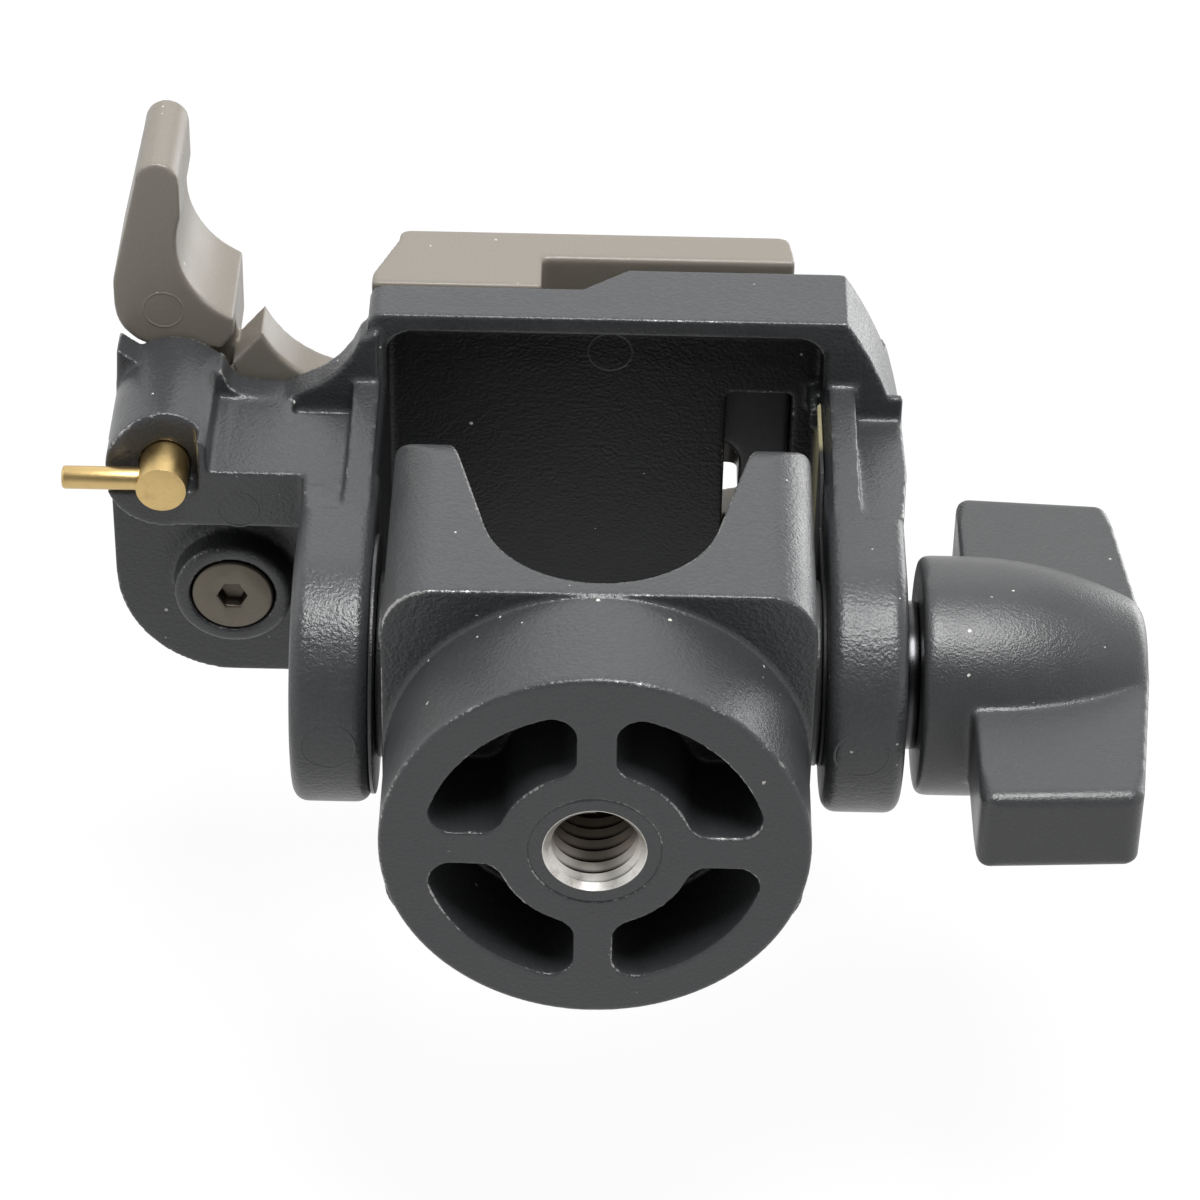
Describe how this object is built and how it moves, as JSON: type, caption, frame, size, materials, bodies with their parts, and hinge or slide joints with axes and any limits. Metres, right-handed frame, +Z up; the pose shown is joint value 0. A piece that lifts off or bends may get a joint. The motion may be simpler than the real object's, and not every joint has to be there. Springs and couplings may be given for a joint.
{
  "type": "tilt head",
  "caption": "Monopod tilt head: threaded round foot with a forked block, a yoke platform tilting on a winged clamp knob, and a cam-lever quick-release clamp holding a camera plate.",
  "frame": {"origin": "centre of the underside of the foot, at the mouth of the base thread", "axes": "+Z up along the base thread, +X along the tilt axis towards the knob, -Y towards the front of the head"},
  "size_m": [0.1054, 0.069, 0.0769],
  "materials": {
    "cast_black": "matte black coat with a fine grain over a light die casting, bare and silvery on worn edges",
    "plastic_black": "satin moulded plastic",
    "taupe_paint": "satin grey-brown coat over a light die casting",
    "steel_bright": "bright turned steel",
    "steel_dark": "dark oxide steel",
    "brass": "turned brass, slightly dull",
    "liner_tan": "plain friction plastic",
    "pad_rubber": "matte rubber"
  },
  "bodies": {
    "base": {"base_fork": "cast_black", "thread_insert": "steel_bright", "ear_bush_left": "plastic_black", "ear_bush_right": "plastic_black"},
    "yoke": {"yoke_casting": "cast_black", "friction_liner": "liner_tan", "friction_washer": "plastic_black", "tilt_bolt": "steel_dark", "lever_washer": "plastic_black", "lever_spring": "steel_bright", "catch_spring": "steel_bright", "trigger_spring": "steel_bright", "plate_body": "taupe_paint", "plate_pad_front": "pad_rubber", "plate_pad_back": "pad_rubber"},
    "collar": {"knob_collar": "steel_bright"},
    "knob": {"knob_body": "plastic_black", "knob_insert": "brass"},
    "lever": {"lever": "taupe_paint", "lever_screw": "steel_dark"},
    "catch": {"catch_post": "brass", "catch_rod": "brass"},
    "trigger": {"trigger_pin": "brass"},
    "screw_slider": {"screw_washer": "steel_bright"},
    "camera_screw": {"camera_screw": "steel_bright", "screw_clip": "steel_dark", "screw_ring": "steel_bright"}
  },
  "joints": [
    {"name": "tilt", "type": "hinge", "parent": "base", "child": "yoke", "pos_m": [0, 0, 0.0273], "axis": [1, 0, 0], "range_deg": [-90, 90]},
    {"name": "collar_slide", "type": "slide", "parent": "yoke", "child": "collar", "axis": [1, 0, 0], "range_m": [0, 0.00125]},
    {"name": "knob_turn", "type": "hinge", "parent": "collar", "child": "knob", "pos_m": [0.04, 0, 0.0273], "axis": [1, 0, 0], "range_deg": [0, 360]},
    {"name": "lever_turn", "type": "hinge", "parent": "yoke", "child": "lever", "pos_m": [-0.037, 0.0053, 0.058], "axis": [0, 0, 1], "range_deg": [-80, 0], "stiffness_Nm_per_rad": 0.15, "springref_deg": 5.73},
    {"name": "catch_turn", "type": "hinge", "parent": "yoke", "child": "catch", "pos_m": [-0.043, -0.0116, 0.045], "axis": [0, 0, 1], "range_deg": [0, 75]},
    {"name": "trigger_press", "type": "slide", "parent": "yoke", "child": "trigger", "axis": [0, 0, 1], "range_m": [-0.002, 0], "stiffness_N_per_m": 400, "springref_m": 0.001, "deforming": ["trigger_spring"]},
    {"name": "screw_slide", "type": "slide", "parent": "yoke", "child": "screw_slider", "axis": [1, 0, 0], "range_m": [-0.007, 0.007]},
    {"name": "screw_turn", "type": "hinge", "parent": "screw_slider", "child": "camera_screw", "pos_m": [-0.0023, 0.0062, 0.066], "axis": [0, 0, 1], "continuous": true}
  ],
  "couplings": [
    {"joint": "knob_turn", "follows": "collar_slide", "rad_per_m": 5026.5}
  ]
}
